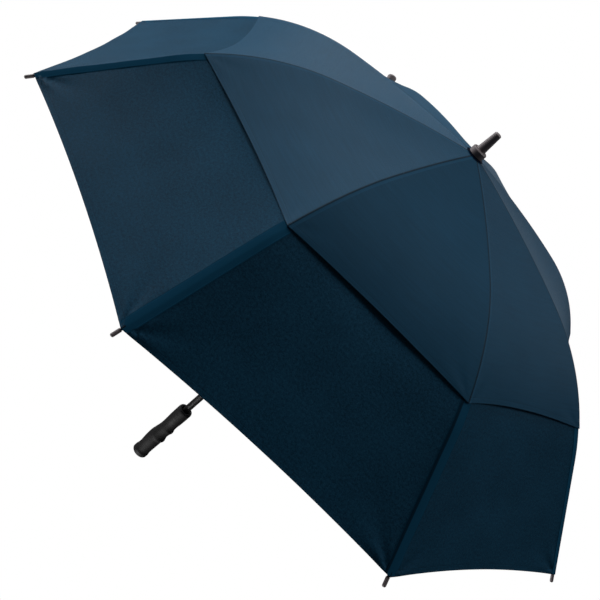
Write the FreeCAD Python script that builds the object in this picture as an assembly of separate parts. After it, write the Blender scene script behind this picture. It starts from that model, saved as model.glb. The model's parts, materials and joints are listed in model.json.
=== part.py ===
"""Vented golf umbrella, open: eight folding ribs, a double canopy, a sliding runner and a moulded grip.

Units are millimetres. The origin is the centre of the grip's bottom end, +Z runs up the shaft to the
ferrule, and rib 1 points along +X. Every rib set is built in the plane Y = 0 and then turned to its place.
"""

import FreeCAD
import Part

import math
import os

from FreeCAD import Vector

# Canopy and ribs
RIB_COUNT = 8
RIM_HEIGHT = 592.0  # height of the rim corners above the grip's bottom end
CROWN_RISE = 344.0  # crown above the rim corners
CROWN_SLOPE = 7.3  # degrees, slope of the seam at the crown
TOP_ARC_LENGTH = 288.0
TOP_ARC_RADIUS = 2285.0
SHOULDER_ARC_LENGTH = 266.5
SHOULDER_ARC_RADIUS = 456.0
SKIRT_LENGTH = 206.0  # straight run down to the rim
RIM_STATION = TOP_ARC_LENGTH + SHOULDER_ARC_LENGTH + SKIRT_LENGTH

CLOTH = 0.8  # thickness of each cloth solid
UPPER_DROP = 0.0  # outer face of the upper canopy, below the seam line
LOWER_DROP = 1.6  # outer face of the lower canopy, below the seam line
SECTOR_GAP = 0.3  # half the gap between two neighbouring cloth sectors
CROWN_HOLE_RADIUS = 13.0
VENT_RADIUS = 467.0  # corners of the upper canopy's hem
VENT_SCALLOP = 11.0  # how far the vent hem draws up between two ribs
VENT_SAG = 13.4  # how far the upper canopy dips between two ribs at its hem
MOUTH_RADIUS = 388.0  # inner edge of the lower canopy
MOUTH_SAG = 20.0
RIM_SCALLOP = 8.5
RIM_SAG = 5.0

# Frame
ROD_RADIUS = 2.0
ROD_DROP = 5.6  # rib centre line below the seam line
PIVOT_RADIUS = 14.0  # circle of the rib and stretcher eyes
KNUCKLE_RADIUS = 361.0  # where the stretcher meets the rib
CLOSED_ANGLE = 2.5  # degrees between a folded rib and the shaft
WIRE_RADIUS = 0.7
EYE_RADIUS = 2.2
EYE_HALF = 1.5
EYE_HOLE = 0.85
EYE_REACH = 8.0  # length of the flat eye before the round rod begins
RIVET_RADIUS = 1.0
RIVET_HOLE = 1.05
TONGUE_HALF = 1.2
CHEEK_GAP_HALF = 1.5
CHEEK_HALF = 3.0
CHEEK_RADIUS = 3.2
FORK_INNER_HALF = 3.3
FORK_OUTER_HALF = 4.3
FORK_RADIUS = 2.8
FORK_LENGTH = 17.0
FORK_BRIDGE = 3.0
STRETCHER_RADIUS = 1.6
SOCKET_RADIUS = 3.2
SOCKET_LENGTH = 14.0
TIP_RADIUS = 3.0
TIP_LENGTH = 15.0
TIP_START = 0.3  # beyond the cloth's corner
TIP_SOCKET = 9.0
TIP_FLAT = 0.5

# Shaft, notch, runner and ferrule
SHAFT_RADIUS = 7.0
SHAFT_WALL = 1.2
SHAFT_FOOT = 22.0
HUB_BORE = 7.05
CROWN_DISC_RADIUS = 17.5
CROWN_DISC_TOP = 3.0  # above the pivots
CROWN_DISC_BOTTOM = 4.5  # below the pivots
SLOT_HALF = 1.85
SLOT_FLOOR = 10.9
SLEEVE_RADIUS = 10.6
NOTCH_SLEEVE = 16.0
RUNNER_SLEEVE = 46.0
RUNNER_RIB_COUNT = 4
RUNNER_RIB_DEPTH = 0.5
RUNNER_RIB_HEIGHT = 1.6
RUNNER_RIB_PITCH = 3.4
LATCH_AZIMUTH = 202.5
LATCH_HOUSING_RADIUS = 14.6
LATCH_HOUSING_HALF = 3.2
LATCH_HOUSING_TOP = 11.0  # below the pivots
LATCH_HOUSING_HEIGHT = 20.0
LATCH_BUTTON_HALF = 2.1
LATCH_BUTTON_HEIGHT = 14.0
LATCH_POCKET_FLOOR = 8.6
LATCH_BUTTON_BACK = 11.2
LATCH_BUTTON_FACE = 16.4
LATCH_CLEARANCE = 0.05
LATCH_SPRING_STRIP = 0.3
FERRULE_NECK_RADIUS = 10.0
COLLAR_RADIUS = 14.5
COLLAR_HEIGHT = 12.0
SPIKE_BASE_RADIUS = 8.7
SPIKE_TOP_RADIUS = 6.7
SPIKE_ROUND = 1.6
FERRULE_TOP = 988.0
ROSETTE_RADIUS = 19.0
ROSETTE_HOLE = 10.2
ROSETTE_THICKNESS = 0.8
ROSETTE_LIFT = 0.35

# Grip: height, reach of the finger side (+X), of the palm side (-X) and of both flanks
GRIP_SECTIONS = (
    (10.0, 16.9, 16.7, 16.8),
    (18.0, 15.6, 15.8, 15.7),
    (25.0, 15.5, 15.7, 15.6),
    (33.0, 15.6, 16.5, 15.9),
    (41.0, 15.7, 17.3, 16.4),
    (48.0, 15.8, 17.6, 16.8),
    (57.0, 16.0, 17.9, 17.0),
    (64.0, 18.3, 17.8, 17.0),
    (71.0, 16.0, 16.8, 16.3),
    (79.0, 15.0, 15.8, 15.6),
    (86.0, 15.8, 14.9, 15.3),
    (94.0, 17.4, 14.3, 15.1),
    (101.0, 15.1, 14.4, 14.8),
    (109.0, 14.5, 14.7, 14.7),
    (124.0, 15.4, 15.4, 15.4),
    (147.0, 15.7, 15.7, 15.7),
    (153.0, 15.6, 15.6, 15.6),
    (156.0, 14.5, 14.5, 14.5),
)
GRIP_SECTION_PITCH = 4.0
GRIP_SECTION_POINTS = 20
GRIP_RECESS_RADIUS = 10.6
GRIP_RECESS_DEPTH = 9.0
END_CAP_RADIUS = 17.0
END_CAP_HEIGHT = 9.9
END_CAP_ROUND = 4.0
END_CAP_PLUG_RADIUS = 6.5

# Closure strap and its knob, on rib 4
STRAP_RIB = 4
KNOB_RADIUS = 9.5
KNOB_NECK_RADIUS = 4.0
KNOB_NECK_HEIGHT = 3.5
KNOB_HEIGHT = 19.0
KNOB_SEAM_RADIUS = 419.0
STRAP_HALF_WIDTH = 9.0
STRAP_START_RADIUS = 486.0
STRAP_END_RADIUS = 604.0
STRAP_LIFT = 0.6
STRAP_THICKNESS = 1.4

UP = Vector(0, 0, 1)
ACROSS = Vector(0, 1, 0)
AXIS_FOOT = Vector(0, 0, 0)


def seam_state(station):
    """Radius, height and slope (radians) of the seam line at a distance along it from the crown."""
    radius = 0.0
    height = RIM_HEIGHT + CROWN_RISE
    slope = math.radians(CROWN_SLOPE)
    left = station
    for length, bend in (
        (TOP_ARC_LENGTH, TOP_ARC_RADIUS),
        (SHOULDER_ARC_LENGTH, SHOULDER_ARC_RADIUS),
    ):
        step = min(left, length)
        turned = slope + step / bend
        radius += bend * (math.sin(turned) - math.sin(slope))
        height -= bend * (math.cos(slope) - math.cos(turned))
        slope = turned
        left -= step
    return radius + left * math.cos(slope), height - left * math.sin(slope), slope


def seam_point(station, drop):
    """Point under the seam line by the given drop, in the rib's plane."""
    radius, height, slope = seam_state(station)
    return Vector(radius - drop * math.sin(slope), 0, height - drop * math.cos(slope))


def station_at(radius, drop=0.0):
    """Distance along the seam line where the dropped line has the given radius."""
    low = 0.0
    high = RIM_STATION + TIP_LENGTH
    for _ in range(60):
        middle = (low + high) / 2
        if seam_point(middle, drop).x < radius:
            low = middle
        else:
            high = middle
    return (low + high) / 2


def turned(shape, degrees):
    """A copy of the shape turned about the shaft."""
    copy = shape.copy()
    copy.rotate(AXIS_FOOT, UP, degrees)
    return copy


def rib_azimuth(number):
    """Azimuth of a rib in degrees, counted from 1."""
    return (number - 1) * 360.0 / RIB_COUNT


def ring(inner, outer, low, high):
    """Tube about the shaft between two heights."""
    height = high - low
    body = Part.makeCylinder(outer, height, Vector(0, 0, low))
    return body.cut(Part.makeCylinder(inner, height + 2, Vector(0, 0, low - 1)))


def block(low, high):
    """Box between two opposite corners."""
    size = high - low
    return Part.makeBox(size.x, size.y, size.z, low)


def disc_across(centre, radius, half_low, half_high):
    """Round plate on a hinge line that runs along Y."""
    start = Vector(centre.x, half_low, centre.z)
    return Part.makeCylinder(radius, half_high - half_low, start, ACROSS)


def rod_between(start, end, radius):
    """Straight round rod."""
    run = end - start
    return Part.makeCylinder(radius, run.Length, start, run)


def plate_between(start, end, half_height, half_low, half_high):
    """Flat bar in the rib's plane, between two Y values."""
    along = (end - start).normalize()
    side = Vector(-along.z, 0, along.x) * half_height
    lift = Vector(0, half_low, 0)
    corners = [start + side, end + side, end - side, start - side, start + side]
    outline = Part.makePolygon([corner + lift for corner in corners])
    return Part.Face(outline).extrude(Vector(0, half_high - half_low, 0))


def revolved(points):
    """Solid of revolution about the shaft from (radius, height) corners."""
    corners = [Vector(radius, 0, height) for radius, height in points]
    outline = Part.makePolygon(corners + corners[:1])
    return Part.Face(outline).revolve(AXIS_FOOT, UP, 360)


def bent_rod(start_station, end_station):
    """Round rod along the dropped seam line: one stretch for each arc, and a straight one."""
    edges = [0.0, TOP_ARC_LENGTH, TOP_ARC_LENGTH + SHOULDER_ARC_LENGTH, RIM_STATION + TIP_LENGTH]
    bends = [TOP_ARC_RADIUS, SHOULDER_ARC_RADIUS, None]
    pieces = []
    for index, bend in enumerate(bends):
        begin = max(start_station, edges[index])
        finish = min(end_station, edges[index + 1])
        if finish - begin < 0.01:
            continue
        start = seam_point(begin, ROD_DROP)
        slope = seam_state(begin)[2]
        along = Vector(math.cos(slope), 0, -math.sin(slope))
        if bend is None:
            pieces.append(Part.makeCylinder(ROD_RADIUS, finish - begin, start, along))
            continue
        inward = Vector(-math.sin(slope), 0, -math.cos(slope))
        hub = start + inward * (bend - ROD_DROP)
        face = Part.Face(Part.Wire(Part.makeCircle(ROD_RADIUS, start, along)))
        pieces.append(face.revolve(hub, ACROSS, math.degrees((finish - begin) / bend)))
    rod = pieces[0]
    for piece in pieces[1:]:
        rod = rod.fuse(piece)
    return rod.removeSplitter()


PIVOT_STATION = station_at(PIVOT_RADIUS, ROD_DROP)
KNUCKLE_STATION = station_at(KNUCKLE_RADIUS, ROD_DROP)
NOTCH_PIVOT = seam_point(PIVOT_STATION, ROD_DROP)
KNUCKLE = seam_point(KNUCKLE_STATION, ROD_DROP)
RUNNER_PIVOT = Vector(PIVOT_RADIUS, 0, 2 * KNUCKLE.z - NOTCH_PIVOT.z)


def along_seam(station):
    """Direction of the seam line away from the crown."""
    slope = seam_state(station)[2]
    return Vector(math.cos(slope), 0, -math.sin(slope))


def eye_end(pivot, towards):
    """Flat eye on a hinge wire, with its neck reaching along a direction."""
    neck_end = pivot + towards * (EYE_REACH + 1.5)
    eye = disc_across(pivot, EYE_RADIUS, -EYE_HALF, EYE_HALF)
    return eye.fuse(plate_between(pivot, neck_end, EYE_HALF, -EYE_HALF, EYE_HALF))


def inner_rib():
    """Rib from the notch to the knuckle, with the knuckle's clip and rivet as solids of their own."""
    towards = along_seam(PIVOT_STATION)
    rod = bent_rod(PIVOT_STATION + EYE_REACH, KNUCKLE_STATION - 5.0)
    rod = rod.fuse(eye_end(NOTCH_PIVOT, towards))
    rod = rod.cut(disc_across(NOTCH_PIVOT, EYE_HOLE, -EYE_HALF - 1, EYE_HALF + 1))
    back = along_seam(KNUCKLE_STATION) * -1
    socket_near = KNUCKLE + back * 4.6
    socket_far = KNUCKLE + back * (4.6 + SOCKET_LENGTH)
    clip = rod_between(socket_near, socket_far, SOCKET_RADIUS)
    for low, high in ((-CHEEK_HALF, -CHEEK_GAP_HALF), (CHEEK_GAP_HALF, CHEEK_HALF)):
        clip = clip.fuse(disc_across(KNUCKLE, CHEEK_RADIUS, low, high))
        clip = clip.fuse(plate_between(KNUCKLE, KNUCKLE + back * 6.0, 2.2, low, high))
    clip = clip.cut(rod)
    clip = clip.cut(disc_across(KNUCKLE, RIVET_RADIUS, -CHEEK_HALF - 1, CHEEK_HALF + 1))
    rivet = disc_across(KNUCKLE, RIVET_RADIUS, -FORK_OUTER_HALF - 0.3, FORK_OUTER_HALF + 0.3)
    for low in (-FORK_OUTER_HALF - 0.9, FORK_OUTER_HALF + 0.1):
        rivet = rivet.fuse(disc_across(KNUCKLE, 2 * RIVET_RADIUS, low, low + 0.8))
    return Part.makeCompound([rod.removeSplitter(), clip, rivet])


def outer_rib():
    """Rib from the knuckle to the rim, hinged by a thin tongue on the knuckle's rivet."""
    towards = along_seam(KNUCKLE_STATION)
    rod = bent_rod(KNUCKLE_STATION + 6.0, RIM_STATION + TIP_SOCKET)
    tongue = disc_across(KNUCKLE, EYE_RADIUS, -TONGUE_HALF, TONGUE_HALF)
    tongue_end = KNUCKLE + towards * 8.0
    tongue = tongue.fuse(plate_between(KNUCKLE, tongue_end, 1.4, -TONGUE_HALF, TONGUE_HALF))
    rod = rod.fuse(tongue)
    rod = rod.cut(disc_across(KNUCKLE, RIVET_HOLE, -TONGUE_HALF - 1, TONGUE_HALF + 1))
    return rod.removeSplitter()


def rib_tip():
    """Moulded cap on the rib's end, with a rounded nose that ends in a small flat."""
    bend = TIP_RADIUS - TIP_FLAT
    shoulder = TIP_LENGTH - bend
    nose = Part.Arc(
        Vector(TIP_RADIUS, 0, shoulder),
        Vector(TIP_FLAT + bend * math.sin(math.pi / 4), 0, shoulder + bend * math.cos(math.pi / 4)),
        Vector(TIP_FLAT, 0, TIP_LENGTH),
    )
    socket_end = TIP_SOCKET - TIP_START
    corners = [
        Vector(TIP_FLAT, 0, TIP_LENGTH),
        Vector(0, 0, TIP_LENGTH),
        Vector(0, 0, socket_end),
        Vector(ROD_RADIUS, 0, socket_end),
        Vector(ROD_RADIUS, 0, 0),
        Vector(TIP_RADIUS, 0, 0),
        Vector(TIP_RADIUS, 0, shoulder),
    ]
    outline = Part.Wire(Part.makePolygon(corners).Edges + [nose.toShape()])
    cap = Part.Face(outline).revolve(AXIS_FOOT, UP, 360)
    cap.rotate(AXIS_FOOT, ACROSS, 90 + math.degrees(seam_state(RIM_STATION)[2]))
    cap.translate(seam_point(RIM_STATION + TIP_START, ROD_DROP))
    return cap


def stretcher():
    """Strut from the runner's wire to the knuckle, ending in a fork about the clip."""
    towards = (KNUCKLE - RUNNER_PIVOT).normalize()
    rod_start = RUNNER_PIVOT + towards * EYE_REACH
    fork_root = KNUCKLE - towards * FORK_LENGTH
    body = rod_between(rod_start, fork_root + towards * 1.0, STRETCHER_RADIUS)
    body = body.fuse(eye_end(RUNNER_PIVOT, towards))
    bridge_end = fork_root + towards * FORK_BRIDGE
    reach = FORK_OUTER_HALF
    body = body.fuse(plate_between(fork_root, bridge_end, STRETCHER_RADIUS + 0.4, -reach, reach))
    for low, high in ((-reach, -FORK_INNER_HALF), (FORK_INNER_HALF, reach)):
        body = body.fuse(plate_between(fork_root, KNUCKLE, 2.0, low, high))
        body = body.fuse(disc_across(KNUCKLE, FORK_RADIUS, low, high))
    body = body.cut(disc_across(KNUCKLE, RIVET_HOLE, -reach - 1, reach + 1))
    body = body.cut(disc_across(RUNNER_PIVOT, EYE_HOLE, -EYE_HALF - 1, EYE_HALF + 1))
    return body.removeSplitter()


def cloth_point(station, share, drop, sag):
    """Point of a cloth panel, at a share of the way from this rib to the next one (0 to 0.5)."""
    here = seam_point(station, drop)
    step = math.radians(360.0 / RIB_COUNT)
    there = Vector(here.x * math.cos(step), here.x * math.sin(step), here.z)
    slope = seam_state(station)[2]
    middle = step / 2
    inward = Vector(
        -math.sin(slope) * math.cos(middle), -math.sin(slope) * math.sin(middle), -math.cos(slope)
    )
    belly = 4 * share * (1 - share)
    return here + (there - here) * share + inward * (sag * belly)


def cloth_face(first, last, scallop_first, scallop_last, drop, sag_at):
    """One half of a sector's cloth face, from the rib to the middle of the panel."""
    rows = 25
    columns = 7
    grid = []
    for row in range(rows):
        part_way = row / (rows - 1)
        line = []
        for column in range(columns):
            share = 0.5 * column / (columns - 1)
            begin = first - scallop_first * 4 * share * (1 - share)
            finish = last - scallop_last * 4 * share * (1 - share)
            station = begin + (finish - begin) * part_way
            radius = seam_state(station)[0]
            chord = 2 * radius * math.sin(math.pi / RIB_COUNT)
            share *= 1 - 2 * SECTOR_GAP / chord
            line.append(cloth_point(station, share, drop, sag_at(station)))
        grid.append(line)
    surface = Part.BSplineSurface()
    surface.interpolate(grid)
    return surface.toShape()


def side_faces(outer, inner):
    """Ruled faces that join the edges of two matching cloth faces, apart from the rib's ridge."""
    faces = []
    for edge in outer.Edges:
        centre = edge.CenterOfMass
        if abs(centre.y) < 1e-6:
            continue
        partner = min(inner.Edges, key=lambda other: other.CenterOfMass.distanceToPoint(centre))
        faces.append(Part.makeRuledSurface(edge, partner))
    return faces


def cloth_sector(first, last, scallop_first, scallop_last, drop, sag_at):
    """Closed cloth solid that reaches half a panel to each side of its rib."""
    outer = cloth_face(first, last, scallop_first, scallop_last, drop, sag_at)
    inner = cloth_face(first, last, scallop_first, scallop_last, drop + CLOTH, sag_at)
    faces = [outer, inner] + side_faces(outer, inner)
    faces += [face.mirror(AXIS_FOOT, ACROSS) for face in faces]
    shell = Part.makeShell(faces)
    shell.sewShape(1e-3)
    solid = Part.makeSolid(Part.Shell(shell.Faces))
    if solid.Volume < 0:
        solid.reverse()
    return solid


def upper_sector():
    """Upper canopy, from the crown to the vent hem."""
    first = station_at(CROWN_HOLE_RADIUS)
    last = station_at(VENT_RADIUS)

    def sag_at(station):
        return VENT_SAG * (station / last) ** 1.5

    return cloth_sector(first, last, 0.0, VENT_SCALLOP, UPPER_DROP, sag_at)


def lower_sector():
    """Lower canopy, from its mouth under the vent to the rim."""
    first = station_at(MOUTH_RADIUS)

    def sag_at(station):
        share = (RIM_STATION - station) / (RIM_STATION - first)
        return RIM_SAG + (MOUTH_SAG - RIM_SAG) * share

    return cloth_sector(first, RIM_STATION, 0.0, RIM_SCALLOP, LOWER_DROP, sag_at)


def slotted_hub(pivot_height, sleeve_length):
    """Hub on the shaft with a toothed disc, whose slots hold eyes on a ring of wire."""
    hub = Part.makeCylinder(
        CROWN_DISC_RADIUS,
        CROWN_DISC_TOP + CROWN_DISC_BOTTOM,
        Vector(0, 0, pivot_height - CROWN_DISC_BOTTOM),
    )
    hub = hub.makeChamfer(0.6, hub.Edges)
    for number in range(RIB_COUNT):
        low = Vector(SLOT_FLOOR, -SLOT_HALF, pivot_height - 10)
        high = Vector(CROWN_DISC_RADIUS + 1, SLOT_HALF, pivot_height + 10)
        hub = hub.cut(turned(block(low, high), number * 360.0 / RIB_COUNT))
    foot = pivot_height - sleeve_length
    hub = hub.fuse(Part.makeCylinder(SLEEVE_RADIUS, sleeve_length, Vector(0, 0, foot)))
    wire = Part.makeTorus(PIVOT_RADIUS, WIRE_RADIUS, Vector(0, 0, pivot_height))
    groove = Part.makeTorus(PIVOT_RADIUS, WIRE_RADIUS + 0.02, Vector(0, 0, pivot_height))
    hub = hub.cut(groove)
    bore = Part.makeCylinder(HUB_BORE, sleeve_length + 20, Vector(0, 0, foot - 5))
    return hub.cut(bore), wire


def top_notch():
    """Fixed crown that holds the ribs' eyes."""
    hub, wire = slotted_hub(NOTCH_PIVOT.z, NOTCH_SLEEVE)
    return Part.makeCompound([hub.removeSplitter(), wire])


def latch_block(inner, outer, half_width, height, clearance=0.0):
    """Block on the runner's side, centred on the latch's height."""
    middle = RUNNER_PIVOT.z - LATCH_HOUSING_TOP - LATCH_HOUSING_HEIGHT / 2
    reach = half_width + clearance
    rise = height / 2 + clearance
    low = Vector(inner, -reach, middle - rise)
    high = Vector(outer, reach, middle + rise)
    return turned(block(low, high), LATCH_AZIMUTH)


def runner():
    """Sliding hub that pushes the stretchers, with the latch's housing on its side."""
    hub, wire = slotted_hub(RUNNER_PIVOT.z, RUNNER_SLEEVE)
    foot = RUNNER_PIVOT.z - RUNNER_SLEEVE
    for number in range(RUNNER_RIB_COUNT):
        low = foot + RUNNER_RIB_HEIGHT + number * RUNNER_RIB_PITCH
        outer = SLEEVE_RADIUS + 1
        groove = ring(SLEEVE_RADIUS - RUNNER_RIB_DEPTH, outer, low, low + RUNNER_RIB_HEIGHT)
        hub = hub.cut(groove)
    housing = latch_block(HUB_BORE + 1, LATCH_HOUSING_RADIUS, LATCH_HOUSING_HALF, LATCH_HOUSING_HEIGHT)
    hub = hub.fuse(housing)
    bore_height = RUNNER_SLEEVE + 20
    hub = hub.cut(Part.makeCylinder(HUB_BORE, bore_height, Vector(0, 0, foot - 5)))
    pocket = latch_block(
        LATCH_POCKET_FLOOR, LATCH_BUTTON_FACE, LATCH_BUTTON_HALF, LATCH_BUTTON_HEIGHT, LATCH_CLEARANCE
    )
    hub = hub.cut(pocket)
    return Part.makeCompound([hub.removeSplitter(), wire])


def latch_button():
    """Button that is pressed towards the shaft to free the runner."""
    button = latch_block(LATCH_BUTTON_BACK, LATCH_BUTTON_FACE, LATCH_BUTTON_HALF, LATCH_BUTTON_HEIGHT)
    outward = Vector(
        math.cos(math.radians(LATCH_AZIMUTH)), math.sin(math.radians(LATCH_AZIMUTH)), 0
    )
    face = max(button.Faces, key=lambda one: one.CenterOfMass.dot(outward))
    return button.makeFillet(0.8, face.Edges)


def latch_spring():
    """Bowed leaf spring between the pocket's floor and the button."""
    middle = RUNNER_PIVOT.z - LATCH_HOUSING_TOP - LATCH_HOUSING_HEIGHT / 2
    near = LATCH_POCKET_FLOOR + 0.1
    far = LATCH_BUTTON_BACK - 0.1
    half = LATCH_BUTTON_HEIGHT / 2 - 1.5
    strip = LATCH_SPRING_STRIP
    outer = Part.Arc(
        Vector(near + strip, 0, middle - half),
        Vector(far, 0, middle),
        Vector(near + strip, 0, middle + half),
    )
    inner = Part.Arc(
        Vector(near, 0, middle - half),
        Vector(far - strip, 0, middle),
        Vector(near, 0, middle + half),
    )
    ends = [
        Part.makeLine(outer.EndPoint, inner.EndPoint),
        Part.makeLine(inner.StartPoint, outer.StartPoint),
    ]
    outline = Part.Wire(Part.__sortEdges__([outer.toShape(), inner.toShape()] + ends))
    leaf = Part.Face(outline).extrude(Vector(0, 3.0, 0))
    leaf.translate(Vector(0, -1.5, 0))
    return turned(leaf, LATCH_AZIMUTH)


def shaft_tube():
    """Shaft, from inside the grip to inside the ferrule."""
    top = RIM_HEIGHT + CROWN_RISE + COLLAR_HEIGHT - 1.5
    return ring(SHAFT_RADIUS - SHAFT_WALL, SHAFT_RADIUS, SHAFT_FOOT, top)


def ferrule():
    """Spike and collar that close the crown."""
    crown = RIM_HEIGHT + CROWN_RISE
    foot = NOTCH_PIVOT.z + CROWN_DISC_TOP + 0.1
    seat = crown + ROSETTE_LIFT + 0.1
    collar_top = crown + COLLAR_HEIGHT
    body = revolved(
        [
            (0, foot),
            (FERRULE_NECK_RADIUS, foot),
            (FERRULE_NECK_RADIUS, seat),
            (COLLAR_RADIUS, seat),
            (COLLAR_RADIUS, collar_top - 1.5),
            (COLLAR_RADIUS - 1.5, collar_top),
            (SPIKE_BASE_RADIUS + 0.8, collar_top),
            (SPIKE_BASE_RADIUS, collar_top + 1.2),
            (SPIKE_TOP_RADIUS, FERRULE_TOP - SPIKE_ROUND),
            (SPIKE_TOP_RADIUS - SPIKE_ROUND, FERRULE_TOP),
            (0, FERRULE_TOP),
        ]
    )
    bore = Part.makeCylinder(SHAFT_RADIUS, collar_top - 1.5 - foot + 1, Vector(0, 0, foot - 1))
    return body.cut(bore)


def rosette():
    """Small disc of cloth under the collar, lying on the crown."""
    drop = math.tan(math.radians(CROWN_SLOPE))
    crown = RIM_HEIGHT + CROWN_RISE + ROSETTE_LIFT
    inner = crown - ROSETTE_HOLE * drop
    outer = crown - ROSETTE_RADIUS * drop
    return revolved(
        [
            (ROSETTE_HOLE, inner),
            (ROSETTE_RADIUS, outer),
            (ROSETTE_RADIUS, outer + ROSETTE_THICKNESS),
            (ROSETTE_HOLE, inner + ROSETTE_THICKNESS),
        ]
    )


def grip_reach(height, side):
    """Reach of one side of the grip at a height: a smooth line through its sections."""
    heights = [section[0] for section in GRIP_SECTIONS]
    reaches = [section[side] for section in GRIP_SECTIONS]
    count = len(heights)
    rises = [
        (reaches[n + 1] - reaches[n]) / (heights[n + 1] - heights[n]) for n in range(count - 1)
    ]
    slopes = [rises[0]]
    for before, after in zip(rises, rises[1:]):
        same_way = before * after > 0
        slopes.append(2 * before * after / (before + after) if same_way else 0.0)
    slopes.append(rises[-1])
    span = max(n for n in range(count - 1) if heights[n] <= height)
    length = heights[span + 1] - heights[span]
    t = (height - heights[span]) / length
    start = reaches[span] * (1 + 2 * t) * (1 - t) ** 2 + slopes[span] * length * t * (1 - t) ** 2
    end = reaches[span + 1] * t * t * (3 - 2 * t) - slopes[span + 1] * length * t * t * (1 - t)
    return start + end


def grip_section(height):
    """Closed outline of the grip at a height."""
    finger, palm, flank = (grip_reach(height, side) for side in (1, 2, 3))
    points = []
    for number in range(GRIP_SECTION_POINTS):
        turn = 2 * math.pi * number / GRIP_SECTION_POINTS
        reach = finger if math.cos(turn) > 0 else palm
        points.append(Vector(reach * math.cos(turn), flank * math.sin(turn), height))
    curve = Part.BSplineCurve()
    parameters = [number / GRIP_SECTION_POINTS for number in range(GRIP_SECTION_POINTS + 1)]
    curve.interpolate(Points=points, Parameters=parameters, PeriodicFlag=True)
    return Part.Wire(curve.toShape())


def grip():
    """Moulded hand grip with finger ridges on +X, bored for the shaft and recessed at the top."""
    bottom = GRIP_SECTIONS[0][0]
    top = GRIP_SECTIONS[-1][0]
    count = round((top - bottom) / GRIP_SECTION_PITCH)
    heights = [bottom + (top - bottom) * n / count for n in range(count)] + [top - 1.2, top]
    body = Part.makeLoft([grip_section(height) for height in heights], True, False)
    body = body.cut(Part.makeCylinder(SHAFT_RADIUS, top, Vector(0, 0, SHAFT_FOOT)))
    recess_floor = top - GRIP_RECESS_DEPTH
    body = body.cut(Part.makeCylinder(GRIP_RECESS_RADIUS, 20, Vector(0, 0, recess_floor)))
    foot = END_CAP_HEIGHT - 1
    return body.cut(Part.makeCylinder(END_CAP_PLUG_RADIUS, SHAFT_FOOT - foot, Vector(0, 0, foot)))


def grip_end_cap():
    """Rounded cap in the bottom of the grip."""
    disc = Part.makeCylinder(END_CAP_RADIUS, END_CAP_HEIGHT)
    rim = [edge for edge in disc.Edges if abs(edge.CenterOfMass.z) < 1e-6 and edge.Closed]
    disc = disc.makeFillet(END_CAP_ROUND, rim)
    plug_top = SHAFT_FOOT - 0.2 - END_CAP_HEIGHT
    plug = Part.makeCylinder(END_CAP_PLUG_RADIUS, plug_top, Vector(0, 0, END_CAP_HEIGHT))
    return disc.fuse(plug).removeSplitter()


def closure_knob():
    """Knob that the strap's loop goes over, standing on the seam of its rib."""
    station = station_at(KNOB_SEAM_RADIUS)
    slope = seam_state(station)[2]
    foot = seam_point(station, 0) + Vector(math.sin(slope), 0, math.cos(slope)) * 0.4
    flat = KNOB_RADIUS - 3.0
    shoulder = KNOB_NECK_HEIGHT + 3.0
    knob = Part.makeCylinder(KNOB_RADIUS, KNOB_HEIGHT - KNOB_NECK_HEIGHT, Vector(0, 0, KNOB_NECK_HEIGHT))
    rims = [edge for edge in knob.Edges if edge.Closed]
    knob = knob.makeFillet(flat - 1.5, rims)
    knob = knob.fuse(Part.makeCylinder(KNOB_NECK_RADIUS, shoulder))
    knob = knob.fuse(Part.makeCylinder(flat, 0.8))
    knob.rotate(AXIS_FOOT, ACROSS, math.degrees(slope))
    knob.translate(foot)
    return turned(knob.removeSplitter(), rib_azimuth(STRAP_RIB))


def closure_strap():
    """Strap that lies along the seam, in flat runs that follow its slope."""
    first = station_at(STRAP_START_RADIUS)
    last = station_at(STRAP_END_RADIUS)
    count = 6
    points = [seam_point(first + (last - first) * n / count, -STRAP_LIFT) for n in range(count + 1)]
    backs = [
        seam_point(first + (last - first) * n / count, -STRAP_LIFT - STRAP_THICKNESS)
        for n in range(count + 1)
    ]
    outline = Part.makePolygon(points + backs[::-1] + points[:1])
    strap = Part.Face(outline).extrude(ACROSS * (2 * STRAP_HALF_WIDTH))
    strap.translate(ACROSS * -STRAP_HALF_WIDTH)
    return turned(strap, rib_azimuth(STRAP_RIB))


def main():
    """Writes one STEP file for each sub-part."""
    os.makedirs("parts", exist_ok=True)
    parts = {
        "shaft_tube": shaft_tube(),
        "grip": grip(),
        "grip_end_cap": grip_end_cap(),
        "top_notch": top_notch(),
        "ferrule": ferrule(),
        "rosette": rosette(),
        "runner": runner(),
        "latch_button": latch_button(),
        "latch_spring": latch_spring(),
        "closure_knob": closure_knob(),
        "closure_strap": closure_strap(),
    }
    for name, maker in (
        ("inner_rib", inner_rib),
        ("outer_rib", outer_rib),
        ("rib_tip", rib_tip),
        ("stretcher", stretcher),
        ("upper_canopy", upper_sector),
        ("lower_canopy", lower_sector),
    ):
        shape = maker()
        for number in range(1, RIB_COUNT + 1):
            parts[f"{name}_{number}"] = turned(shape, rib_azimuth(number))
    for name, shape in parts.items():
        valid = shape.isValid()
        if not valid or not shape.Solids:
            print("check", name, "valid:", valid, "solids:", len(shape.Solids))
        shape.exportStep(f"parts/{name}.step")
    fold = math.atan2(KNUCKLE.x - PIVOT_RADIUS, NOTCH_PIVOT.z - KNUCKLE.z) - math.radians(CLOSED_ANGLE)
    length = (KNUCKLE - NOTCH_PIVOT).Length
    travel = 2 * length * math.cos(math.radians(CLOSED_ANGLE)) - (NOTCH_PIVOT.z - RUNNER_PIVOT.z)
    print("notch pivot", NOTCH_PIVOT, "knuckle", KNUCKLE, "runner pivot", RUNNER_PIVOT)
    print("strut length", length, "fold degrees", math.degrees(fold), "runner travel", travel)
    end = seam_point(RIM_STATION + TIP_LENGTH + 0.3, ROD_DROP)
    print("tip end", end)


main()
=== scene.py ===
import json
import math

import bmesh
import bpy
import numpy as np
from mathutils import Matrix, Vector


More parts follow.
